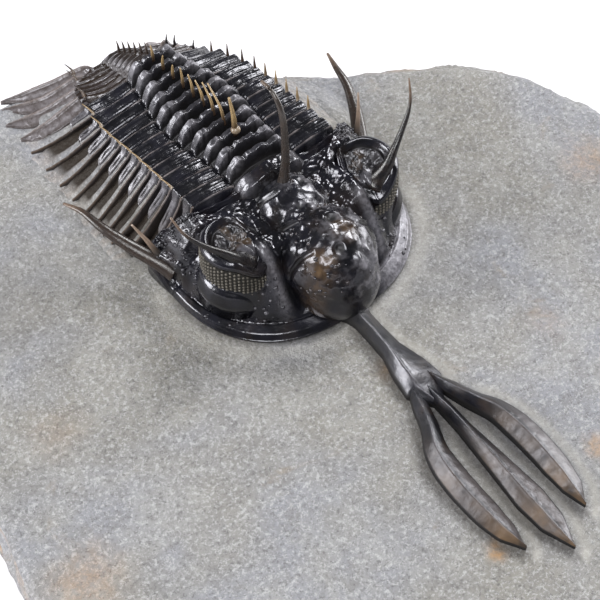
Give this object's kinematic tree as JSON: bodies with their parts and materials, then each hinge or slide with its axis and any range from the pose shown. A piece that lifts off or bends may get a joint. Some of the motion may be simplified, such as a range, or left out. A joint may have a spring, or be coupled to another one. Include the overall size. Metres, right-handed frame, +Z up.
{
  "type": "trident trilobite fossil on its stone slab",
  "caption": "Spiny trilobite with a leaf-tined trident on its snout, raised horns and rows of spines, on a broken slab of grey limestone.",
  "frame": {"origin": "centre of the slab's box, on its flat underside", "axes": "+Z up out of the slab, the trilobite's head and trident point along -Y, its left side lies along +X"},
  "size_m": [0.093, 0.093, 0.0392],
  "materials": {
    "limestone": "matt, broken",
    "shell": "glossy black calcite with tan spines"
  },
  "bodies": {
    "root": {"matrix": "limestone", "cephalon": "shell", "thorax_segment_01": "shell", "thorax_segment_02": "shell", "thorax_segment_03": "shell", "thorax_segment_04": "shell", "thorax_segment_05": "shell", "thorax_segment_06": "shell", "thorax_segment_07": "shell", "thorax_segment_08": "shell", "thorax_segment_09": "shell", "thorax_segment_10": "shell", "thorax_segment_11": "shell", "pygidium": "shell"}
  },
  "joints": []
}
